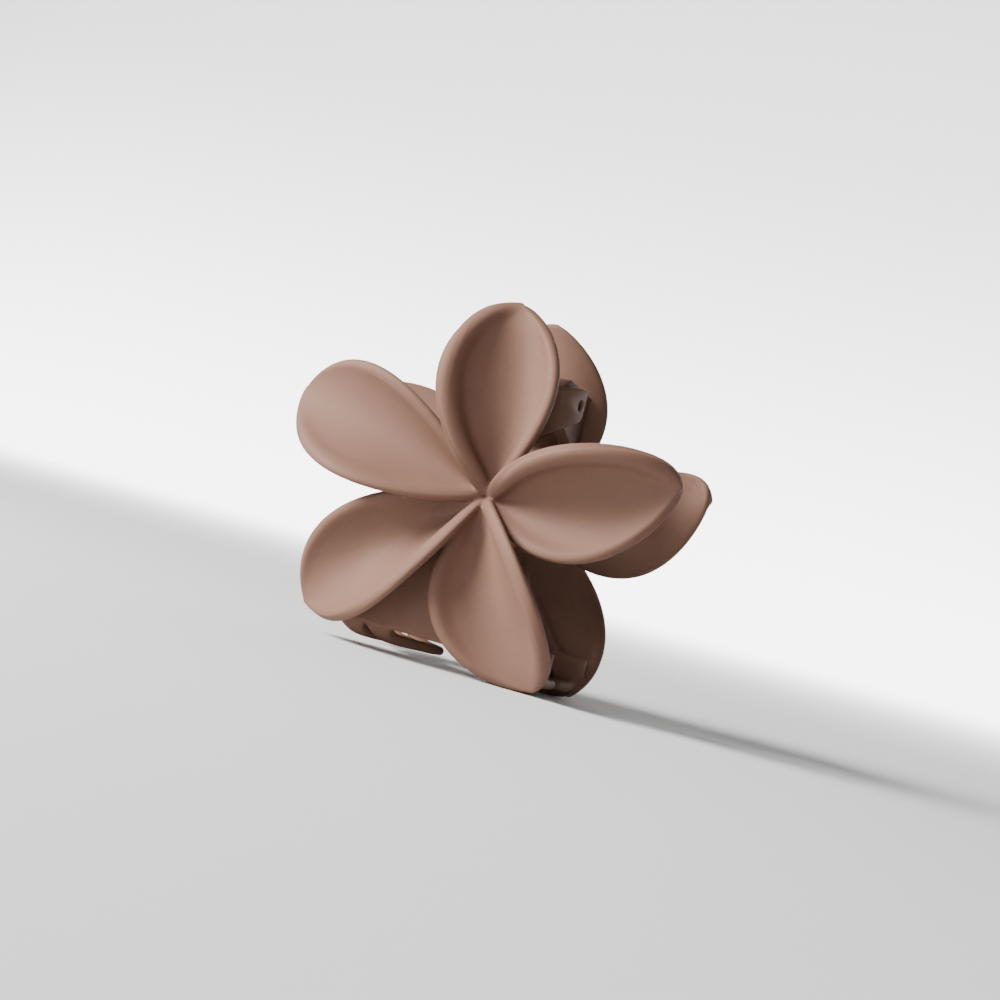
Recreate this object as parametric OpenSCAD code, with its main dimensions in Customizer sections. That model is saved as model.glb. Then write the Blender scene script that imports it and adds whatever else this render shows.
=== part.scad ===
// Flower hair claw: two five-petal half mouldings, mirror images of each other, that turn on a steel pin
// and are closed by a torsion spring. +X along the hinge pin, -Y out of the front flower, +Z up towards
// the two handle petals. z = 0 is the clip's lowest point, the tips of the two lower right petals.

/* [Flower] */
// Length of a petal from the flower's centre, before each petal's own difference
petal_len = 38; // [32:0.5:48]
// Half width of a petal at its widest
petal_half_w = 10.4; // [8.5:0.1:12.5]
// Wall thickness of the petals
petal_t = 2.4; // [1.8:0.1:3.2]
// Distance from the clip's mid plane to the flower's deepest point
flower_depth = 8; // [7:0.25:12]
// How far a petal's middle line rises before it bends back
petal_rise = 9.3; // [6:0.1:12]
// How far a petal's tip bends back again
tip_drop = 8.4; // [4:0.1:12]
// Depth of a petal's cup, from its middle line to its edges
cup_depth = 7.3; // [4:0.1:9]
// How much higher one edge of a petal stands than the other
rim_lead = 2.9; // [0:0.1:4]
// Radius of the round hub behind the petals
hub_r = 9; // [7:0.5:12]
// Thickness of the hub
hub_t = 3; // [2:0.25:5]

/* [Claws] */
// Depth of the claws' underside below the flower's centre
claw_drop = 31.3; // [30:0.1:32]
// Outer radius of the claws' corner in the side view
claw_r = 4.6; // [3.5:0.1:6]
// Wall thickness of the claws
claw_t = 2.2; // [1.6:0.1:3]
// Distance of the left end of the row of claws from the flower's centre
claw_left = 20; // [18:0.5:21]
// Distance of the right end of the row of claws from the flower's centre
claw_right = 22.3; // [20:0.1:23]
// Height of the wall above the claws' corner
claw_wall_h = 16; // [12:0.5:17]
// Distance of the wall's outer face from the mid plane
claw_depth = 10.2; // [9.5:0.1:11]
// Width of an outer tooth at its root
outer_tooth_w = 4.4; // [3:0.1:5]
// Width of an inner tooth at its root
inner_tooth_w = 4.2; // [3:0.1:5]
// Width of the slot between two teeth at its root
slot_w = 1.6; // [1.2:0.1:2.2]
// Height of the slots' closed ends above the claws' underside
slot_h = 3; // [2.4:0.1:4]
// How far the left teeth lean towards the middle
tooth_lean = 9; // [4:0.25:9.5]
// Gap between a tooth and the mid plane when the clip is closed
tooth_gap = 0.25; // [0.15:0.05:1]

/* [Hinge] */
// Height of the pin above the flower's centre
pin_height = 21.3; // [18:0.1:25]
// Diameter of the hinge pin
pin_d = 2; // [1.6:0.1:3]
// Radial clearance of the pin in the turning lugs
pin_clear = 0.06; // [0.03:0.01:0.1]
// Radial clearance of the pin in the lugs that hold it
pin_grip_clear = 0.02; // [0.01:0.01:0.05]
// Distance from the middle of the hinge to an outer lug's outer face, or more if the spring needs the room
lug_reach = 9.8; // [9:0.1:11]
// Thickness of each lug
lug_t = 2.4; // [1.8:0.1:2.8]
// Gap between an outer lug and the inner lug beside it
lug_gap = 0.3; // [0.2:0.05:0.6]
// Radius of an inner lug's round end
inner_lug_r = 4.2; // [3.2:0.1:5]
// How far an outer lug reaches past the pin
lug_nose = 2.4; // [2:0.1:3.5]
// How far the pin's ends lie inside the outer lugs
pin_recess = 0.8; // [0:0.1:1.2]

/* [Spring] */
// Diameter of the spring's wire
wire_d = 0.9; // [0.7:0.05:1.1]
// Whole turns of the spring's coil
coil_turns = 7; // [5:1:9]
// Radial clearance between the coil and the pin
coil_clear = 0.6; // [0.4:0.05:1]
// Least clearance between each end of the coil and the lug beside it
coil_side_clear = 0.4; // [0.2:0.05:1]
// Gap between two turns of the coil
coil_gap = 0.1; // [0.05:0.05:0.3]
// Length of each straight leg of the spring
leg_len = 11.3; // [9:0.1:11.6]
// Lean of each leg towards its handle
leg_lean = 38; // [25:1:42]

/* [Hidden] */
plastic = [0.58, 0.43, 0.38];
steel = [0.72, 0.72, 0.74];
PETALS = 5;
// Each petal's own turn from an even fifth, difference in length and sideways bend of the tip
petal_turn = [-7, 1, -7, -11, -14];
petal_extra = [-2, 3.5, 1.5, 0, 1];
tip_bend = [5.8, 1, -1, 6.4, 7.5];
edge_grow = 0.9;     // how fast a petal widens from the centre
edge_close = 0.6;    // how bluntly it closes at the tip
cup_grow = 0.7;
cup_close = 0.9;
rings = 17;          // cross sections along a petal
strips = 12;         // strips across a petal
hub_proud = 0.2;     // how far the hub stands in front of the flower's deepest point
wall_side_h = 4;     // height of the upright ends of the claws' wall above the claws' corner
wall_step = [5, 2.5];   // the wall's right end steps in and up by this from the claws' corner
wall_slope = [13, 12];  // and slopes on to this point before it runs to the hub
tooth_turn_y = -8.5; // the teeth lean from here to the mid plane
right_lean = 0.78;   // lean of the right inner tooth as a share of the left teeth's
lug_rise = 3.6;      // the outer lugs' height above and below the pin
lug_fall = 2.8;
lug_top_slope = 0.18;
lug_low_slopes = [0.16, 0.46];  // slope of the lower edges of the left and the right outer lug
inner_root_rise = 1.5;  // how far an inner lug's upper edge drops from the pin to the petal
inner_root_fall = 6;
lug_round = 1.5;     // radius of the outer lugs' corners
base_s = 0.04;       // where the first cross section lies
step = 0.001;
facets = 32;
spring_sides = 8;
steps_per_turn = 16;

arc = 180 - 2 * leg_lean + 360 * coil_turns;
coil_half = (arc / 360 * (wire_d + coil_gap) + wire_d) / 2;
// The outer lugs' outer faces: each pair of lugs lies outside the coil
reach = max(lug_reach, coil_half + coil_side_clear + 2 * lug_t + lug_gap);
inner_lug_x = reach - lug_t - lug_gap;
pin_len = 2 * (reach - pin_recess);
coil_r = pin_d / 2 + coil_clear + wire_d / 2;

// A curve that is 0 at s = 0, 1 at its crest and 0 at s = 1
function bell(s, grow, close) =
    let (crest = grow / (grow + close)) pow(s / crest, grow) * pow(max(1 - s, 0) / (1 - crest), close);
function petal_width(s) = petal_half_w * bell(s, edge_grow, edge_close);
function petal_angle(k) = 90 + petal_turn[k] + k * 360 / PETALS;

// Middle surface of petal k: s runs from the centre to the tip and q from one edge (-1) to the other (1)
function petal_sheet(k, s, q) = [
    (petal_len + petal_extra[k]) * s,
    q * petal_width(s) - 3.6 * s * s + (tip_bend[k] + 3) * pow(s, 3),
    petal_rise * s - tip_drop * (0.55 * s * s + 0.45 * pow(s, 3))
        + bell(s, cup_grow, cup_close) * (rim_lead * q + cup_depth * q * q)
];
function unit(v) = v / norm(v);
function petal_normal(k, s, q) =
    let (s0 = max(s - step, base_s / 2), s1 = min(s + step, 1 - step),
         q0 = max(q - step, -1), q1 = min(q + step, 1))
    unit(cross(petal_sheet(k, s1, q) - petal_sheet(k, s0, q), petal_sheet(k, s, q1) - petal_sheet(k, s, q0)));
// Half the wall at a point, rounded off towards the petal's edge
function half_wall(s, q) =
    let (d = min((1 - abs(q)) * petal_width(s) * 2 / petal_t, 1)) petal_t / 2 * sqrt(1 - (1 - d) * (1 - d));
function ring_s(i) = base_s + (1 - base_s) * (1 - pow(1 - i / rings, 1.6));
function strip_q(j) = sin(90 * (2 * j / strips - 1));
// One closed cross section: along the top from edge to edge and back along the underside
function petal_ring(k, s) = [
    for (j = [0 : strips]) let (q = strip_q(j)) petal_sheet(k, s, q) + petal_normal(k, s, q) * half_wall(s, q),
    for (j = [strips - 1 : -1 : 1]) let (q = strip_q(j)) petal_sheet(k, s, q) - petal_normal(k, s, q) * half_wall(s, q)
];
// From the petal's own axes (outward, across, height) to the clip's, about the flower's centre
function placed(k, p) =
    let (a = petal_angle(k)) [p.x * cos(a) - p.y * sin(a), -flower_depth - p.z, p.x * sin(a) + p.y * cos(a)];
function petal_points(k) = [
    for (i = [0 : rings - 1]) for (p = petal_ring(k, ring_s(i))) placed(k, p),
    placed(k, petal_sheet(k, 1, 0)),
    placed(k, petal_sheet(k, base_s, 0))
];
round_n = 2 * strips;
petal_faces = [
    for (i = [0 : rings - 2]) for (j = [0 : round_n - 1])
        let (a = i * round_n + j, b = i * round_n + (j + 1) % round_n) each [
            [a, b, b + round_n], [a, b + round_n, a + round_n]
        ],
    for (j = [0 : round_n - 1]) let (r = (rings - 1) * round_n) [r + j, r + (j + 1) % round_n, rings * round_n],
    for (j = [0 : round_n - 1]) [(j + 1) % round_n, j, rings * round_n + 1]
];
// Where the whole clip lies, so that it stands on z = 0 with its box centred on x = 0
all_points = [for (k = [0 : PETALS - 1]) each petal_points(k)];
low_z = min([for (p = all_points) p.z]);
mid_x = (min([for (p = all_points) p.x]) + max([for (p = all_points) p.x])) / 2;
// The hinge is centred behind the handle petal
hinge_x = placed(0, petal_sheet(0, 0.5, 0)).x;
pin_at = [hinge_x - mid_x, 0, pin_height - low_z];
claw_low_z = -claw_drop;
claw_corner_z = claw_low_z + claw_r;
// Depth of the handle petal's sheet, for the lugs' roots
function handle_y(s, q) = placed(0, petal_sheet(0, s, q)).y;

module petal(k) {
    polyhedron(points = petal_points(k), faces = petal_faces, convexity = 6);
}

// Moves what is drawn about the flower's centre to its place in the clip
module at_flower() {
    translate([-mid_x, 0, -low_z]) children();
}

// Draws a side view, y across and z up, and gives it a width along x
module side_plate(x0, x1) {
    translate([x0, 0, 0]) rotate([90, 0, 90]) linear_extrude(x1 - x0) children();
}

// The outline of the claws' wall in the front view: it stays behind the two lower petals and their gap
module wall_outline() {
    side_z = claw_corner_z + wall_side_h;
    rotate([90, 0, 0]) linear_extrude(claw_depth + 1) polygon([
        [-hub_r / 2, 0], [-claw_left, side_z], [-claw_left, claw_low_z - 1],
        [claw_right, claw_low_z - 1], [claw_right, claw_corner_z],
        [claw_right - wall_step.x, claw_corner_z + wall_step.y],
        [claw_right - wall_slope.x, claw_corner_z + wall_slope.y], [hub_r / 4, -hub_r / 4]
    ]);
}

// The wall behind the lower petals, its corner and the floor that the teeth are cut from
module claw_wall() {
    corner_y = claw_r - claw_depth;
    side_plate(-claw_left - 1, claw_right + 1) {
        translate([-claw_depth, claw_corner_z]) square([claw_t, claw_wall_h]);
        translate([corner_y, claw_low_z]) square([-corner_y - tooth_gap, claw_t]);
        intersection() {
            translate([corner_y, claw_corner_z]) difference() {
                circle(r = claw_r, $fn = 64);
                circle(r = claw_r - claw_t, $fn = 64);
            }
            translate([-claw_depth, claw_low_z]) square(claw_r);
        }
    }
}

// One tooth from its root to the mid plane, as a column
module tooth(x, w, lean) {
    translate([0, 0, claw_low_z - 1]) linear_extrude(claw_r + 1) polygon([
        [x, -claw_depth - 1], [x + w, -claw_depth - 1], [x + w, tooth_turn_y],
        [x + w + lean, 0], [x + lean, 0], [x, tooth_turn_y]
    ]);
}

module claws() {
    inner_left = outer_tooth_w + slot_w - claw_left;
    inner_right = claw_right - outer_tooth_w - slot_w - inner_tooth_w;
    intersection() {
        claw_wall();
        wall_outline();
        union() {
            translate([-claw_left - 1, -claw_depth - 1, claw_low_z + slot_h])
                cube([claw_left + claw_right + 2, claw_depth + 1, claw_wall_h + claw_r]);
            tooth(-claw_left, outer_tooth_w, tooth_lean);
            tooth(inner_left, inner_tooth_w, tooth_lean);
            tooth(inner_right, inner_tooth_w, -right_lean * tooth_lean);
            tooth(claw_right - outer_tooth_w, outer_tooth_w, 0);
        }
    }
}

module hub() {
    translate([0, -flower_depth - hub_proud, 0]) rotate([-90, 0, 0])
        cylinder(r1 = hub_r, r2 = hub_r - 1, h = hub_t, $fn = facets);
}

// A lug of the half that holds the pin, from the handle petal's back past the pin
module outer_lug(side) {
    root_y = handle_y(0.5, -0.9 * side);
    low_root_y = handle_y(side > 0 ? 0.25 : 0.45, -0.9 * side);
    slope = lug_low_slopes[side > 0 ? 1 : 0];
    top = pin_height + lug_rise;
    low = pin_height - lug_fall;
    x0 = hinge_x + (side > 0 ? reach - lug_t : -reach);
    difference() {
        side_plate(x0, x0 + lug_t) hull() {
            for (z = [low + lug_round, top - lug_round])
                translate([lug_nose - lug_round, z]) circle(r = lug_round, $fn = facets);
            translate([root_y, top - lug_top_slope * (lug_nose - root_y) - 1]) square([0.5, 1]);
            translate([low_root_y, low - slope * (lug_nose - low_root_y)]) square([0.5, 1]);
        }
        pin_hole(pin_grip_clear);
    }
}

// A lug of the half that turns, with its round end about the pin
module inner_lug(side) {
    root_y = handle_y(0.5, -0.65 * side);
    low_root_y = handle_y(0.3, -0.65 * side);
    x0 = hinge_x + (side > 0 ? inner_lug_x - lug_t : -inner_lug_x);
    difference() {
        side_plate(x0, x0 + lug_t) {
            translate([0, pin_height]) circle(r = inner_lug_r, $fn = 64);
            polygon([
                [0, pin_height + inner_lug_r], [root_y, pin_height + inner_lug_r - inner_root_rise],
                [low_root_y, pin_height - inner_lug_r - inner_root_fall], [0, pin_height - inner_lug_r]
            ]);
        }
        pin_hole(pin_clear);
    }
}

module pin_hole(clear) {
    translate([hinge_x - reach - 1, 0, pin_height]) rotate([0, 90, 0])
        cylinder(r = pin_d / 2 + clear, h = 2 * reach + 2, $fn = 48);
}

// The petals, the hub and the claws as one shell
module flower_half() {
    resize([0, 0, 0]) union() {
        for (k = [0 : PETALS - 1]) petal(k);
        hub();
        claws();
    }
}

// The spring's wire: up one leg, round the coil and up the other leg
coil_steps = ceil(arc / 360 * steps_per_turn);
function coil_point(t) =
    let (a = 180 + leg_lean + arc * t) [(0.5 - t) * arc / 360 * (wire_d + coil_gap), coil_r * cos(a), coil_r * sin(a)];
function leg_end(side) = coil_point(side > 0 ? 1 : 0) + leg_len * [0, side * sin(leg_lean), cos(leg_lean)];
wire_path = [leg_end(-1), for (i = [0 : coil_steps]) coil_point(i / coil_steps), leg_end(1)];
last = len(wire_path) - 1;
function wire_dir(i) = unit(wire_path[min(i + 1, last)] - wire_path[max(i - 1, 0)]);
function wire_ring(i) =
    let (d = wire_dir(i), across = unit(cross(d, [1, 0, 0])), up = cross(across, d))
    [for (j = [0 : spring_sides - 1]) let (a = 360 * j / spring_sides)
        wire_path[i] + wire_d / 2 * (cos(a) * across + sin(a) * up)];

module front_half() {
    color(plastic) at_flower() {
        flower_half();
        for (side = [-1, 1]) outer_lug(side);
    }
}
module back_half() {
    color(plastic) at_flower() mirror([0, 1, 0]) {
        flower_half();
        for (side = [-1, 1]) inner_lug(side);
    }
}
module hinge_pin() {
    color(steel) translate(pin_at - [pin_len / 2, 0, 0]) rotate([0, 90, 0]) cylinder(d = pin_d, h = pin_len, $fn = 48);
}
module torsion_spring() {
    n = spring_sides;
    color(steel) translate(pin_at) polyhedron(
        points = [for (i = [0 : last]) each wire_ring(i)],
        faces = [
            [for (j = [0 : n - 1]) j],
            for (i = [0 : last - 1]) for (j = [0 : n - 1]) let (a = i * n + j, b = i * n + (j + 1) % n) each [
                [a, a + n, b + n], [a, b + n, b]
            ],
            [for (j = [n - 1 : -1 : 0]) last * n + j]
        ],
        convexity = 10
    );
}

front_half();
back_half();
hinge_pin();
torsion_spring();
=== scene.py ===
"""Looks of the flower hair claw: two petalled mouldings in soft-touch plastic, a steel pin and a wound spring.

Lengths inside the shape functions are millimetres about the flower's centre, with +X along the pin, -Y out of
the front flower and +Z up. Each mesh is moved to the model's frame, in metres, when its object is made.
"""

import math

import bmesh
import bpy
import numpy as np
from mathutils import Matrix, Vector


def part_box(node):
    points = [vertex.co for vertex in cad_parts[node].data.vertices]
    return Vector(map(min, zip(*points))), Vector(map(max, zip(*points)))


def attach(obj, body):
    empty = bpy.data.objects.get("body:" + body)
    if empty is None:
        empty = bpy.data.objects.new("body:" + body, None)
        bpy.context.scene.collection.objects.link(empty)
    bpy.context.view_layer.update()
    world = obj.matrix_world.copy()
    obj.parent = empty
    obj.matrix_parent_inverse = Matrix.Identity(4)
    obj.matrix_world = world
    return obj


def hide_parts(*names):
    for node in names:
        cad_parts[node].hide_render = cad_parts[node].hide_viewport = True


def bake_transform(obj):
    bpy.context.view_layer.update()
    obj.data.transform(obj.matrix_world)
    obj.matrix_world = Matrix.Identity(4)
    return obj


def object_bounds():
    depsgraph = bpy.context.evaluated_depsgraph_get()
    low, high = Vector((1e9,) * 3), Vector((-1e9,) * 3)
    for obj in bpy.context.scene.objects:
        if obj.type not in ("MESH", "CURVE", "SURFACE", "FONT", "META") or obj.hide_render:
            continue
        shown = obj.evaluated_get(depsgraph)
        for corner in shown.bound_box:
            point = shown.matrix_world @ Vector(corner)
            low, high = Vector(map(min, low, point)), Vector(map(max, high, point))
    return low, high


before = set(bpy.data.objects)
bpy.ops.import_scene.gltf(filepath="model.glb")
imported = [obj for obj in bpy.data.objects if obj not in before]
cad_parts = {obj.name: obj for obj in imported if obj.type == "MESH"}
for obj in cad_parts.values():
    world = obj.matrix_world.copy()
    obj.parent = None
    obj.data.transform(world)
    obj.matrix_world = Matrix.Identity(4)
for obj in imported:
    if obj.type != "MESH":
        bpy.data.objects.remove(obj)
cad_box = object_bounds()

# ---------------------------------------------------------------- where the frame puts things
MM = 0.001
pin_low, pin_high = (Vector(corner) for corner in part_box("hinge_pin"))
pin_centre = (pin_low + pin_high) / 2
PIN_R = (pin_high.z - pin_low.z) / 2 / MM
PIN_HALF = (pin_high.x - pin_low.x) / 2 / MM
PIN_HEIGHT = 21.3

# ---------------------------------------------------------------- the flower's shape
PETALS = 5
PETAL_LEN = 38.0
PETAL_HALF_W = 10.4
PETAL_T = 2.4
FLOWER_DEPTH = 8.0
PETAL_RISE, TIP_DROP = 9.3, 8.4
CUP_DEPTH, RIM_LEAD = 7.3, 2.9
# Each petal's own turn from an even fifth, difference in length and sideways bend of the tip
PETAL_TURN = (-7, 1, -7, -11, -14)
PETAL_EXTRA = (-2, 3.5, 1.5, 0, 1)
TIP_BEND = (5.8, 1, -1, 6.2, 8.2)
# How fast each petal widens, how bluntly it closes, and how wide its leading and its trailing side are
GROW = (0.9, 0.78, 0.85, 0.9, 0.9)
BLUNT = (0.6, 0.46, 0.54, 0.6, 0.6)
LEAD_W = (1.13, 1.0, 1.0, 1.05, 1.02)
TRAIL_W = (0.98, 1.0, 1.0, 1.0, 1.0)
# How far each leading rim is rolled flat, and how deep the cup lies inside it
ROLL = (1.0, 0.12, 0.38, 0.4, 0.9)
CUP = (1.05, 0.35, 0.7, 0.95, 1.05)
RIM_BAND = 2.0
# How every petal's middle line sweeps sideways, one way first and then the other
SWEEP, TIP_SWEEP = 3.6, 3.0
# Where the petals' roots run together, beside the flower's centre
CENTRE_X = 1.8


def bell(s, grow, close):
    """0 at s = 0, 1 at its crest and 0 at s = 1."""
    crest = grow / (grow + close)
    return (s / crest) ** grow * (np.clip(1 - s, 0, None) / (1 - crest)) ** close


def smooth(x):
    """A soft step from 0 to 1."""
    x = np.clip(x, 0, 1)
    return x * x * (3 - 2 * x)


def petal_width(s, k):
    return PETAL_HALF_W * bell(s, GROW[k], BLUNT[k])


def petal_sheet(k, s, q):
    """Middle of petal k's wall: s from centre to tip, q from one edge (-1) to the other (1)."""
    s, q = np.broadcast_arrays(np.asarray(s, float), np.asarray(q, float))
    out = (PETAL_LEN + PETAL_EXTRA[k]) * s
    sides = np.where(q > 0, LEAD_W[k], TRAIL_W[k])
    edge = (1 - q) * petal_width(s, k)
    band = smooth(edge / RIM_BAND)
    roll = 0.9 * band * (1 - smooth((edge - RIM_BAND) / 2.4)) - 1.4 * (1 - band)
    roll = ROLL[k] * roll * smooth(s / 0.25) * smooth((1 - s) / 0.15)
    across = q * petal_width(s, k) * sides - SWEEP * s**2 + (TIP_BEND[k] + TIP_SWEEP) * s**3
    cup = bell(s, 0.7, 0.9) * (RIM_LEAD * q + CUP_DEPTH * q**2)
    height = PETAL_RISE * s - TIP_DROP * (0.55 * s**2 + 0.45 * s**3) + cup + roll
    return np.stack([out, across, height], -1)


def petal_angle(k):
    return math.radians(90 + PETAL_TURN[k] + 72 * k)


def placed(k, p):
    """From a petal's own axes (outward, across, height) to the clip's."""
    a = petal_angle(k)
    x = p[..., 0] * math.cos(a) - p[..., 1] * math.sin(a)
    z = p[..., 0] * math.sin(a) + p[..., 1] * math.cos(a)
    # the petals meet a little beside the flower's centre
    inner = np.clip(1 - np.hypot(x, z) / 24, 0, 1) ** 2
    x = x + CENTRE_X * inner
    return np.stack([x, -FLOWER_DEPTH - p[..., 2], z], -1)


def unit(v):
    return v / np.maximum(np.linalg.norm(v, axis=-1, keepdims=True), 1e-12)


def petal_normal(k, s, q, e=1e-3):
    ds = petal_sheet(k, np.clip(s + e, 0, 1), q) - petal_sheet(k, np.clip(s - e, 0, 1), q)
    dq = petal_sheet(k, s, np.clip(q + e, -1, 1)) - petal_sheet(k, s, np.clip(q - e, -1, 1))
    n = unit(np.cross(ds, dq))
    n[-1] = unit(n[-2].mean(0))
    return n


def cup_drop(s, q, k):
    """How far the cup's floor lies below the rims: a steep step inside the leading rim, a gentle one opposite."""
    w = petal_width(s, k)
    lead = smooth(((1 - q) * w - 1.3 - 0.8 * ROLL[k]) / 1.7)
    trail = 0.3 * smooth(((1 + q) * w - 0.8) / 2.5) + 0.7 * smooth((1 + q) / 1.5)
    along = smooth(s / 0.12) * smooth((1 - s) / 0.30)
    return CUP[k] * lead * trail * along


class Shape:
    """Points and faces in millimetres, gathered from closed pieces."""

    def __init__(self):
        self.points, self.faces, self.count = [], [], 0

    def add(self, points, faces):
        self.points.append(np.asarray(points, float).reshape(-1, 3))
        self.faces += [tuple(i + self.count for i in f) for f in faces]
        self.count += len(self.points[-1])

    def add_rings(self, rings):
        """A closed solid through a row of closed cross sections, with flat ends."""
        rings = [np.asarray(r, float) for r in rings]
        n = len(rings[0])
        faces = [
            (i * n + j, i * n + (j + 1) % n, (i + 1) * n + (j + 1) % n, (i + 1) * n + j)
            for i in range(len(rings) - 1)
            for j in range(n)
        ]
        faces.append(tuple(range(n - 1, -1, -1)))
        faces.append(tuple((len(rings) - 1) * n + j for j in range(n)))
        self.add(np.concatenate(rings), faces)

    def mesh(self, name):
        m = bpy.data.meshes.new(name)
        m.from_pydata(np.concatenate(self.points).tolist(), [], self.faces)
        b = bmesh.new()
        b.from_mesh(m)
        bmesh.ops.remove_doubles(b, verts=b.verts, dist=1e-5)
        bmesh.ops.recalc_face_normals(b, faces=b.faces)
        b.to_mesh(m)
        b.free()
        return m


def add_petal(shape, k, along=84, across=56):
    t = np.linspace(0, 1, along + 1)
    s = np.clip(1 - (1 - t) ** 1.6, 0.012, 1)[:, None]
    q = np.sin(np.linspace(-1, 1, across + 1) * np.pi / 2)[None, :]
    s, q = np.broadcast_arrays(s, q)
    mid, n = petal_sheet(k, s, q), petal_normal(k, s, q)
    d = (1 - np.abs(q)) * petal_width(s, k)
    half = PETAL_T / 2 * np.sqrt(1 - (1 - np.clip(d * 2 / PETAL_T, 0, 1)) ** 2)
    top = placed(k, mid + n * (half - cup_drop(s, q, k))[..., None])
    low = placed(k, mid - n * half[..., None])
    ring = [np.concatenate([top[i], low[i][-2:0:-1]]) for i in range(len(top))]
    shape.add_rings(ring)


def rounded_box(width, height, r, n=6):
    """Outline of a rectangle with round corners, about its centre."""
    out = []
    for cx, cy, a0 in ((1, 1, 0), (-1, 1, 90), (-1, -1, 180), (1, -1, 270)):
        for i in range(n):
            a = math.radians(a0 + 90 * i / (n - 1))
            out.append((cx * (width / 2 - r) + r * math.cos(a), cy * (height / 2 - r) + r * math.sin(a)))
    return np.array(out)


# ---------------------------------------------------------------- the claws
CLAW_LOW, CLAW_R, CLAW_T, CLAW_DEPTH = -31.3, 4.6, 2.2, 10.2
CLAW_LEFT, CLAW_RIGHT = -20.0, 22.3
CORNER_Y, CORNER_Z = CLAW_R - CLAW_DEPTH, CLAW_LOW + CLAW_R
SLOT_TOP = CLAW_LOW + 3.0
TURN_Y = -8.5
OUTER_TOOTH_W, INNER_TOOTH_W, SLOT_W = 4.4, 4.2, 1.6


def claw_path(top=-24.5, end=-0.25):
    """Middle of the claws' wall in the side view: down the wall, round the corner and in to the mid plane."""
    r = CLAW_R - CLAW_T / 2
    straight = [(CORNER_Y - r, z) for z in np.linspace(top, CORNER_Z, 8, endpoint=False)]
    corner = [(CORNER_Y - r * math.cos(a), CORNER_Z - r * math.sin(a)) for a in np.linspace(0, np.pi / 2, 20)]
    foot = [(y, CORNER_Z - r) for y in np.linspace(CORNER_Y, end, 24)[1:]]
    return np.array(straight + corner + foot)


def add_tooth(shape, x0, x1, lean):
    """A tooth that grows out of the wall, leans as it goes in and thins to a rounded tip."""
    path = claw_path()
    d = unit(np.gradient(path, axis=0))
    normal = np.stack([-d[:, 1], d[:, 0]], -1)
    gone = np.clip((path[:, 0] - TURN_Y) / -TURN_Y, 0, 1)
    near_tip = np.clip((path[:, 0] + 2.2) / 1.95, 0, 1)
    rings = []
    for p, n, t, tip in zip(path, normal, gone, near_tip):
        flare = 0.75 * (1 - smooth((SLOT_TOP + 0.6 - p[1]) / 2.2))
        round_off = math.sqrt(max(1 - tip**3, 0.0)) * 0.45 + 0.55
        width = (x1 - x0) * (1 - 0.16 * t) * round_off + 2 * flare
        section = rounded_box(width, CLAW_T * (1 - 0.22 * t) * (0.4 + 0.6 * round_off), min(0.7, width / 2.2))
        middle = (x0 + x1) / 2 + lean * t ** 1.12
        rings.append(np.stack([middle + section[:, 0], p[0] + section[:, 1] * n[0], p[1] + section[:, 1] * n[1]], -1))
    shape.add_rings(rings)


def add_claws(shape):
    side_z = CORNER_Z + 4
    outline = [
        (-4.5, 0), (CLAW_LEFT, side_z), (CLAW_LEFT, SLOT_TOP), (CLAW_RIGHT, SLOT_TOP),
        (CLAW_RIGHT, CORNER_Z + 0.5), (CLAW_RIGHT - 5, CORNER_Z + 2.5), (CLAW_RIGHT - 13, CORNER_Z + 12), (2.25, -2),
    ]
    n = len(outline)
    faces = [tuple(range(n - 1, -1, -1)), tuple(range(n, 2 * n))]
    faces += [(i, (i + 1) % n, n + (i + 1) % n, n + i) for i in range(n)]
    y0, y1 = -CLAW_DEPTH, CLAW_T - CLAW_DEPTH
    shape.add([(x, y0, z) for x, z in outline] + [(x, y1, z) for x, z in outline], faces)
    inner, far = OUTER_TOOTH_W + SLOT_W, OUTER_TOOTH_W + SLOT_W + INNER_TOOTH_W
    add_tooth(shape, CLAW_LEFT, CLAW_LEFT + OUTER_TOOTH_W, 9.0)
    add_tooth(shape, CLAW_LEFT + inner, CLAW_LEFT + far, 9.0)
    add_tooth(shape, CLAW_RIGHT - far, CLAW_RIGHT - inner, -7.0)
    add_tooth(shape, CLAW_RIGHT - OUTER_TOOTH_W, CLAW_RIGHT, 0.0)


def add_hub(shape):
    """A round boss that joins the petals' backs, as a turned profile of (y, radius)."""
    profile = (
        (-8.45, 0.5), (-8.5, 2.4), (-8.9, 5.0), (-9.3, 7.2), (-9.2, 8.2),
        (-8.4, 8.6), (-6.4, 8.6), (-5.5, 8.3), (-5.2, 7.7),
    )
    a = np.linspace(0, 2 * np.pi, 72, endpoint=False)
    shape.add_rings([np.stack([CENTRE_X + r * np.cos(a), np.full(72, y), r * np.sin(a)], -1) for y, r in profile])


# ---------------------------------------------------------------- from shapes to objects
def fused(shape, voxel, rounds):
    """One skin round everything in the shape, with its creases softened like a moulding's."""
    rough = bpy.data.objects.new("rough", shape.mesh("rough"))
    bpy.context.scene.collection.objects.link(rough)
    remesh = rough.modifiers.new("skin", "REMESH")
    remesh.mode = "VOXEL"
    remesh.voxel_size = voxel
    remesh.adaptivity = 0
    soften = rough.modifiers.new("soften", "SMOOTH")
    soften.factor = 0.5
    soften.iterations = rounds
    bpy.context.view_layer.update()
    out = bpy.data.meshes.new_from_object(rough.evaluated_get(bpy.context.evaluated_depsgraph_get()))
    bpy.data.objects.remove(rough)
    return out


def points_of(mesh):
    co = np.empty(len(mesh.vertices) * 3, np.float32)
    mesh.vertices.foreach_get("co", co)
    return co.reshape(-1, 3).astype(float)


def set_points(mesh, co):
    mesh.vertices.foreach_set("co", co.astype(np.float32).ravel())
    mesh.update()


HINGE_X = float(placed(0, petal_sheet(0, 0.5, 0))[0])
FLOWER_AT = np.array(pin_centre) / MM - np.array([HINGE_X, 0, PIN_HEIGHT])


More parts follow.
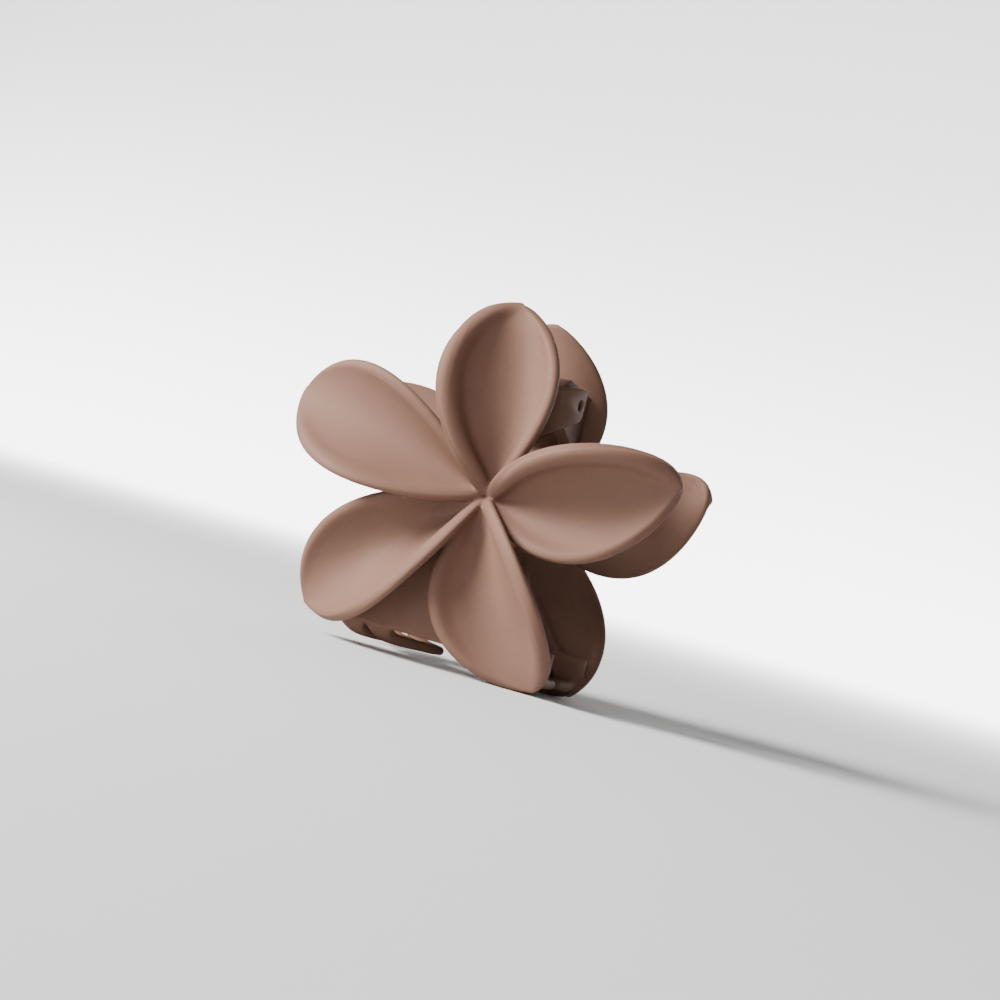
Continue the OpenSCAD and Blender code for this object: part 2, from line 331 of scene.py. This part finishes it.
def make_object(name, mesh, material, body, at=FLOWER_AT):
    """Moves a mesh from millimetres about a point to the model's frame and gives it its finish and its body."""
    mesh.transform(Matrix.Scale(MM, 4) @ Matrix.Translation(Vector(at)))
    mesh.materials.clear()
    mesh.materials.append(material)
    mesh.polygons.foreach_set("use_smooth", [True] * len(mesh.polygons))
    piece = bpy.data.objects.new(name, mesh)
    bpy.context.scene.collection.objects.link(piece)
    if body:
        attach(piece, body)
    return piece


def mirrored(mesh):
    """The same shape for the other half, turned the right way out."""
    out = mesh.copy()
    out.transform(Matrix.Scale(-1, 4, Vector((0, 1, 0))))
    out.flip_normals()
    return out


# ---------------------------------------------------------------- finishes
class Sheet:
    """A material's node tree, written as sums and products of its sockets."""

    def __init__(self, name):
        self.material = bpy.data.materials.new(name)
        self.material.use_nodes = True
        self.tree = self.material.node_tree
        self.bsdf = self.tree.nodes["Principled BSDF"]

    def node(self, kind, out=0, settings=None, **inputs):
        n = self.tree.nodes.new(kind)
        for key, value in (settings or {}).items():
            setattr(n, key, value)
        for key, value in inputs.items():
            self.feed(n.inputs[int(key[1:]) if key[0] == "i" and key[1:].isdigit() else key.replace("_", " ")], value)
        return Wire(self, n.outputs[out])

    def feed(self, socket, value):
        if isinstance(value, Wire):
            self.tree.links.new(value.socket, socket)
        else:
            socket.default_value = value

    def math(self, op, *args):
        settings = {"operation": op}
        return self.node("ShaderNodeMath", settings=settings, **{f"i{i}": a for i, a in enumerate(args)})

    def mix(self, factor, a, b):
        n = self.tree.nodes.new("ShaderNodeMix")
        n.data_type = "RGBA"
        self.feed(n.inputs["Factor"], factor)
        self.feed(n.inputs[6], a)
        self.feed(n.inputs[7], b)
        return Wire(self, n.outputs[2])

    def step(self, value, low, high):
        settings = {"interpolation_type": "SMOOTHSTEP"}
        return self.node("ShaderNodeMapRange", settings=settings, Value=value, From_Min=low, From_Max=high)

    def place(self, sx=1.0, sy=1.0, sz=1.0):
        """Where a point lies on its own piece, in millimetres, stretched as asked."""
        at = self.node("ShaderNodeTexCoord", out=3)
        settings = {"operation": "MULTIPLY"}
        return self.node("ShaderNodeVectorMath", settings=settings, i0=at, i1=(sx / MM, sy / MM, sz / MM))

    def noise(self, scale, detail=2.0, rough=0.5, at=None):
        return self.node("ShaderNodeTexNoise", Vector=at or self.place(), Scale=scale, Detail=detail, Roughness=rough)

    def bump(self, height, distance, strength=1.0, normal=None):
        extra = {"Normal": normal} if normal else {}
        return self.node("ShaderNodeBump", Height=height, Distance=distance, Strength=strength, **extra)

    def finish(self, **values):
        for key, value in values.items():
            self.feed(self.bsdf.inputs[key.replace("_", " ")], value)
        return self.material


class Wire:
    """One socket's value, for use in expressions."""

    def __init__(self, sheet, socket):
        self.sheet, self.socket = sheet, socket

    def __add__(self, other):
        return self.sheet.math("ADD", self, other)

    def __sub__(self, other):
        return self.sheet.math("SUBTRACT", self, other)

    def __mul__(self, other):
        return self.sheet.math("MULTIPLY", self, other)

    __radd__ = __add__
    __rmul__ = __mul__


def soft_touch_plastic():
    """Matte mauve-brown plastic: cloudy pigment, a fine spark-eroded grain, and crests painted paler as a painted
    highlight, with a slightly glossier finish there.
    """
    m = Sheet("soft_touch_plastic")
    cloud = m.noise(0.07, 3)
    mottle = m.noise(0.9, 3)
    grain = m.noise(7.0, 2, 0.6)
    speck = m.step(m.noise(3.1, 1), 0.70, 0.76)
    crest = m.node("ShaderNodeAttribute", out=2, settings={"attribute_name": "crest"})
    tint = m.mix(m.step(cloud, 0.35, 0.65), (0.165, 0.089, 0.061, 1), (0.177, 0.096, 0.067, 1))
    tint = m.mix(m.step(mottle, 0.3, 0.7) * 0.22, tint, (0.148, 0.078, 0.057, 1))
    # painted highlight: the crests that stick out are painted a paler colour
    tint = m.mix(m.step(crest, 0.35, 1.0) * 0.22, tint, (0.225, 0.138, 0.104, 1))
    tint = m.mix(speck * 0.12, tint, (0.22, 0.138, 0.104, 1))
    rough = 0.54 + 0.07 * cloud + 0.10 * grain - 0.06 * m.step(crest, 0.35, 1.0)
    normal = m.bump(m.noise(0.35, 2), 0.00003, 0.5)
    normal = m.bump(grain, 0.000012, 0.7, normal)
    return m.finish(Base_Color=tint, Roughness=rough, Normal=normal, Specular_IOR_Level=0.14)


def pin_steel():
    """Turned steel: fine rings round the axis and a little oil film."""
    m = Sheet("turned_steel")
    rings = m.noise(3.0, 4, 0.6, at=m.place(6, 0.4, 0.4))
    film = m.noise(0.8, 3)
    tint = m.mix(m.step(film, 0.35, 0.7), (0.56, 0.56, 0.57, 1), (0.44, 0.43, 0.42, 1))
    return m.finish(
        Base_Color=tint, Metallic=1.0, Roughness=0.24 + 0.16 * rings + 0.06 * film,
        Normal=m.bump(rings, 0.00001, 0.5),
    )


def spring_wire():
    """Drawn spring wire: lines along the wire, straw-coloured temper and darker drawing soap in patches."""
    m = Sheet("drawn_spring_wire")
    lines = m.noise(4.0, 3, 0.6, at=m.place(0.6, 3, 3))
    temper = m.noise(0.5, 3)
    soot = m.step(m.noise(1.6, 4), 0.52, 0.70)
    tint = m.mix(m.step(temper, 0.35, 0.65), (0.50, 0.49, 0.48, 1), (0.46, 0.42, 0.36, 1))
    tint = m.mix(soot * 0.45, tint, (0.20, 0.19, 0.18, 1))
    return m.finish(
        Base_Color=tint, Metallic=1.0, Roughness=0.28 + 0.14 * lines + 0.18 * soot,
        Normal=m.bump(lines, 0.00001, 0.5),
    )


plastic = soft_touch_plastic()
steel = pin_steel()
wire = spring_wire()

# ---------------------------------------------------------------- the two mouldings
flower = Shape()
for k in range(PETALS):
    add_petal(flower, k)
add_hub(flower)
add_claws(flower)
voxel = 0.27
skin = fused(flower, voxel, 5)


def press_marks(mesh):
    """Round ejector marks on the faces that look towards the other half."""
    co = points_of(mesh)
    normals = np.empty(len(mesh.vertices) * 3, np.float32)
    mesh.vertex_normals.foreach_get("vector", normals)
    inward = normals.reshape(-1, 3)[:, 1] > 0.25
    for k in range(PETALS):
        for s, q in ((0.52, 0.12), (0.76, 0.1)):
            x, _, z = placed(k, petal_sheet(k, s, q))
            r = np.hypot(co[:, 0] - x, co[:, 2] - z)
            co[:, 1] -= np.where(inward & (co[:, 1] < -4), 0.35 * (1 - smooth((r - 0.85) / 0.35)), 0)
    set_points(mesh, co)


def mark_crests(mesh, voxel):
    """Stores how sharply each point sticks out of the surface round it, from 0 to 1."""
    co = points_of(mesh)
    ends = np.empty(len(mesh.edges) * 2, np.int32)
    mesh.edges.foreach_get("vertices", ends)
    a, b = ends.reshape(-1, 2).T
    count = np.bincount(np.concatenate([a, b]), minlength=len(co)).astype(float)
    normals = np.empty(len(mesh.vertices) * 3, np.float32)
    mesh.vertex_normals.foreach_get("vector", normals)
    away = co.copy()
    for _ in range(10):
        sums = [np.bincount(a, away[b, i], len(co)) + np.bincount(b, away[a, i], len(co)) for i in range(3)]
        total = np.stack(sums, -1)
        away = 0.3 * away + 0.7 * total / count[:, None]
    out = np.einsum("ij,ij->i", co - away, normals.reshape(-1, 3))
    layer = mesh.attributes.new("crest", "FLOAT", "POINT")
    layer.data.foreach_set("value", np.clip(out / 0.45, 0, 1).astype(np.float32))


press_marks(skin)
mark_crests(skin, voxel)
back_skin = mirrored(skin)
front_flower = make_object("front_flower", skin, plastic, "front")
back_flower = make_object("back_flower", back_skin, plastic, "back")


# ---------------------------------------------------------------- the lugs
def handle_wall():
    """Points along the middle of the handle petal's wall, for the lugs to end in."""
    s, q = np.broadcast_arrays(np.linspace(0.06, 0.97, 260)[:, None], np.linspace(-0.93, 0.93, 200)[None, :])
    middle = petal_sheet(0, s, q) - petal_normal(0, s, q) * (cup_drop(s, q, 0) / 2)[..., None]
    return placed(0, middle).reshape(-1, 3)


WALL = handle_wall()


def seat_in_wall(mesh, flip):
    """Ends a lug inside the handle petal's wall, however the wall slopes across the lug."""
    co = points_of(mesh)
    y = -co[:, 1] if flip else co[:, 1].copy()
    for i in np.where(y < -4)[0]:
        near = WALL[np.argmin((WALL[:, 0] - co[i, 0]) ** 2 + (WALL[:, 2] - co[i, 2]) ** 2)]
        if y[i] < near[1]:
            y[i] = near[1]
            co[i, 0], co[i, 2] = near[0], near[2]
    co[:, 1] = -y if flip else y
    set_points(mesh, co)


def lug(name, outline, bore_r, x0, x1, flip=False):
    """A flat lug with rounded edges and a round bore about the pin, from its side view (across, up)."""
    flat = bpy.data.curves.new(name, "CURVE")
    flat.dimensions = "2D"
    flat.fill_mode = "BOTH"
    edge = 0.3
    flat.extrude = (x1 - x0) / 2 - edge
    flat.bevel_depth = edge
    flat.offset = -edge
    flat.bevel_resolution = 3
    turn = np.linspace(0, 2 * np.pi, 64, endpoint=False)
    hole = [(bore_r * math.cos(t), PIN_HEIGHT + bore_r * math.sin(t)) for t in turn]
    for points in (outline, hole):
        path = flat.splines.new("POLY")
        path.points.add(len(points) - 1)
        for p, (y, z) in zip(path.points, points):
            p.co = (-y if flip else y, z, 0, 1)
        path.use_cyclic_u = True
    rough = bpy.data.objects.new(name, flat)
    bpy.context.scene.collection.objects.link(rough)
    bpy.context.view_layer.update()
    m = bpy.data.meshes.new_from_object(rough.evaluated_get(bpy.context.evaluated_depsgraph_get()))
    bpy.data.objects.remove(rough)
    m.transform(Matrix(((0, 0, 1, (x0 + x1) / 2), (1, 0, 0, 0), (0, 1, 0, 0), (0, 0, 0, 1))))
    seat_in_wall(m, flip)
    b = bmesh.new()
    b.from_mesh(m)
    bmesh.ops.remove_doubles(b, verts=b.verts, dist=1e-4)
    bmesh.ops.recalc_face_normals(b, faces=b.faces)
    b.to_mesh(m)
    b.free()
    return m


def rounded(points, radii, n=8):
    """A closed outline with each corner rounded by its own radius."""
    out = []
    for i, (p, r) in enumerate(zip(points, radii)):
        p, before, after = (np.array(c, float) for c in (p, points[i - 1], points[(i + 1) % len(points)]))
        u, v = unit(before - p), unit(after - p)
        half = math.acos(np.clip(u @ v, -1, 1)) / 2
        if r <= 0 or half > 1.55:
            out.append(tuple(p))
            continue
        centre = p + unit(u + v) * r / math.sin(half)
        a, b = p + u * r / math.tan(half), p + v * r / math.tan(half)
        for t in np.linspace(0, 1, n):
            out.append(tuple(centre + unit((a - centre) * (1 - t) + (b - centre) * t) * r))
    return out


PIN_RECESS = 0.8
LUG_REACH, LUG_T, LUG_GAP, LUG_NOSE = PIN_HALF + PIN_RECESS, 2.4, 0.3, 2.4
INNER_LUG_R = 4.2
OUTER_BORE, INNER_BORE = PIN_R + 0.05, PIN_R + 0.06


def handle_y(s, q):
    return float(placed(0, petal_sheet(0, s, q))[1])


def root_line(top, low, beyond=6.0, n=14):
    """The root edge of a lug in its side view, drawn past the wall so that it can be seated in it."""
    return [(top[0] - beyond + (low[0] - top[0]) * t, top[1] + (low[1] - top[1]) * t) for t in np.linspace(0, 1, n)]


for side, word in ((-1, "left"), (1, "right")):
    root, low_root = handle_y(0.5, -0.9 * side), handle_y(0.25 if side > 0 else 0.45, -0.9 * side)
    slope = 0.46 if side > 0 else 0.16
    top, low = PIN_HEIGHT + 3.6, PIN_HEIGHT - 2.8
    high_end = (root, top - 0.18 * (LUG_NOSE - root))
    low_end = (low_root, low - slope * (LUG_NOSE - low_root))
    corners = rounded([(LUG_NOSE, low), (LUG_NOSE, top), high_end, low_end], [1.6, 1.5, 0, 0])
    outline = corners[:-2] + root_line(high_end, low_end)
    x1 = HINGE_X + (LUG_REACH if side > 0 else LUG_T - LUG_REACH)
    m = lug(f"outer_lug_{word}", outline, OUTER_BORE, x1 - LUG_T, x1)
    make_object(f"outer_lug_{word}", m, plastic, "front")

    root, low_root = handle_y(0.5, -0.65 * side), handle_y(0.3, -0.65 * side)
    turn = np.linspace(math.radians(-92), math.radians(88), 40)
    round_end = [(INNER_LUG_R * math.cos(t), PIN_HEIGHT + INNER_LUG_R * math.sin(t)) for t in turn]
    high_end = (root, PIN_HEIGHT + INNER_LUG_R - 1.5)
    low_end = (low_root, PIN_HEIGHT - INNER_LUG_R - 6.0)
    outline = round_end + root_line(high_end, low_end)
    x1 = HINGE_X + (LUG_REACH - LUG_T - LUG_GAP if side > 0 else 2 * LUG_T + LUG_GAP - LUG_REACH)
    m = lug(f"inner_lug_{word}", outline, INNER_BORE, x1 - LUG_T, x1, flip=True)
    make_object(f"inner_lug_{word}", m, plastic, "back")


# ---------------------------------------------------------------- pin and spring
def turned(profile, around=64):
    """A turned part about the X axis, from its half profile (along, radius)."""
    shape = Shape()
    a = np.linspace(0, 2 * np.pi, around, endpoint=False)
    shape.add_rings([np.stack([np.full(around, x), r * np.cos(a), r * np.sin(a)], -1) for x, r in profile])
    return shape.mesh("turned")


ends = [(0.0, PIN_R * 0.55), (0.10, PIN_R * 0.80), (0.28, PIN_R)]
profile = [(-PIN_HALF + x, r) for x, r in ends] + [(PIN_HALF - x, r) for x, r in reversed(ends)]
pin_mesh = turned(profile)
pin = make_object("pin", pin_mesh, steel, "front", at=np.array(pin_centre) / MM)
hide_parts("hinge_pin")

WIRE_D, COIL_GAP, COIL_CLEAR, TURNS, LEAN, LEG = 0.9, 0.1, 0.6, 7, 38, 11.3
COIL_R = PIN_R + COIL_CLEAR + WIRE_D / 2
ARC = 180 - 2 * LEAN + 360 * TURNS


def coil_point(t):
    a = math.radians(180 + LEAN + ARC * t)
    return np.array([(0.5 - t) * ARC / 360 * (WIRE_D + COIL_GAP), COIL_R * math.cos(a), COIL_R * math.sin(a)])


def spring_path():
    """Up one leg, round the coil and up the other leg."""
    lean = math.radians(LEAN)
    ends = []
    for side in (-1, 1):
        base = coil_point(1 if side > 0 else 0)
        along = np.array([0, side * math.sin(lean), math.cos(lean)])
        leg = [base + along * LEG * t for t in (0.15, 0.4, 0.65, 0.85, 1.0)]
        ends.append(leg)
    coil = [coil_point(i / 340) for i in range(341)]
    return np.array(ends[0][::-1] + coil + ends[1])


def swept(path, r, around=18):
    """A round wire along a path, with its ends nipped off square and softened."""
    shape = Shape()
    d = unit(np.gradient(path, axis=0))
    across = unit(np.cross(d, [1, 0, 0]))
    up = np.cross(across, d)
    a = np.linspace(0, 2 * np.pi, around, endpoint=False)
    rings = []
    for i, p in enumerate(path):
        ring = p + r * (np.cos(a)[:, None] * across[i] + np.sin(a)[:, None] * up[i])
        if i in (0, len(path) - 1):
            into = d[i] if i == 0 else -d[i]
            cap = p + 0.72 * (ring - p)
            ring = ring + into * 0.12
            rings += [cap, ring] if i == 0 else [ring, cap]
        else:
            rings.append(ring)
    shape.add_rings(rings)
    return shape.mesh("swept")


spring_mesh = swept(spring_path(), WIRE_D / 2)
spring = make_object("spring", spring_mesh, wire, None, at=np.array(pin_centre) / MM)
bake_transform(spring)
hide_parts("torsion_spring")
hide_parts("front_half")
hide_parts("back_half")

# ---------------------------------------------------------------- floor, light and camera
flower_at = Vector(FLOWER_AT) * MM


def floor():
    """A wide pale sweep that the clip stands on."""
    m = Sheet("pale_paper")
    cloud = m.noise(0.004, 3)
    tint = m.mix(cloud, (0.61, 0.61, 0.61, 1), (0.65, 0.65, 0.645, 1))
    # painted light: the paper is painted paler towards the back, so the far floor and sweep look brighter than the
    # light alone makes them
    far = m.node("ShaderNodeSeparateXYZ", out=1, Vector=m.place())
    tint = m.mix(m.step(far, 1400, 2000), tint, (0.80, 0.80, 0.795, 1))
    fibre = m.noise(1.5, 3)
    material = m.finish(Base_Color=tint, Roughness=0.85 + 0.1 * fibre, Normal=m.bump(fibre, 0.00002, 0.4))
    mesh = bpy.data.meshes.new("floor")
    half, level_end, bend_r, top = 3.0, 1.4, 0.6, 2.6
    bend = np.linspace(0.05, np.pi / 2, 24)
    profile = [(-half, 0.0), (level_end, 0.0)]
    profile += [(level_end + bend_r * math.sin(a), bend_r - bend_r * math.cos(a)) for a in bend]
    profile += [(level_end + bend_r, top)]
    points = [(x, y, z + cad_box[0][2]) for y, z in profile for x in (-half, half)]
    faces = [(2 * i, 2 * i + 1, 2 * i + 3, 2 * i + 2) for i in range(len(profile) - 1)]
    mesh.from_pydata(points, [], faces)
    mesh.polygons.foreach_set("use_smooth", [True] * len(faces))
    mesh.materials.append(material)
    piece = bpy.data.objects.new("floor", mesh)
    bpy.context.scene.collection.objects.link(piece)


def soft_box(name, at, size, power, target, tint=(1, 1, 1)):
    light = bpy.data.lights.new(name, "AREA")
    light.shape = "RECTANGLE"
    light.size, light.size_y = size
    light.energy = power
    light.color = tint
    lamp = bpy.data.objects.new(name, light)
    bpy.context.scene.collection.objects.link(lamp)
    lamp.location = target + Vector(at)
    lamp.rotation_euler = (-Vector(at)).to_track_quat("-Z", "Y").to_euler()
    return lamp


floor()
soft_box("key", (-0.48, -0.38, 0.38), (0.32, 0.32), 19.0, flower_at)
soft_box("front_fill", (-0.05, -0.75, 0.25), (0.5, 0.4), 2.0, flower_at)
overhead = soft_box("backdrop", (0, -0.15, 1.3), (3.2, 1.2), 125.0, flower_at + Vector((-0.55, 1.4, 0)))
overhead.data.spread = math.radians(75)
world = bpy.data.worlds.new("studio")
bpy.context.scene.world = world
world.use_nodes = True
backdrop = world.node_tree.nodes["Background"]
backdrop.inputs["Color"].default_value = (1, 1, 1, 1)
backdrop.inputs["Strength"].default_value = 0.12

AZIMUTH, ELEVATION, ROLL = (math.radians(v) for v in (22.8, -1.55, 15.2))
DISTANCE, LENS = 0.3834, 73.0
target = flower_at + Vector((1.09, 0, 0.40)) * MM
right = Vector((math.cos(AZIMUTH), math.sin(AZIMUTH), 0))
level = Vector((math.sin(AZIMUTH), -math.cos(AZIMUTH), 0))
back = level * math.cos(ELEVATION) + Vector((0, 0, math.sin(ELEVATION)))
up = back.cross(right)
tilted_right = right * math.cos(ROLL) + up * math.sin(ROLL)
tilted_up = up * math.cos(ROLL) - right * math.sin(ROLL)
lens = bpy.data.cameras.new("camera")
lens.lens, lens.sensor_width = LENS, 36
lens.clip_start, lens.clip_end = 0.01, 20
lens.dof.use_dof = False
camera = bpy.data.objects.new("camera", lens)
bpy.context.scene.collection.objects.link(camera)
camera.matrix_world = Matrix((tilted_right, tilted_up, back)).transposed().to_4x4()
camera.location = target + back * DISTANCE
bpy.context.scene.camera = camera
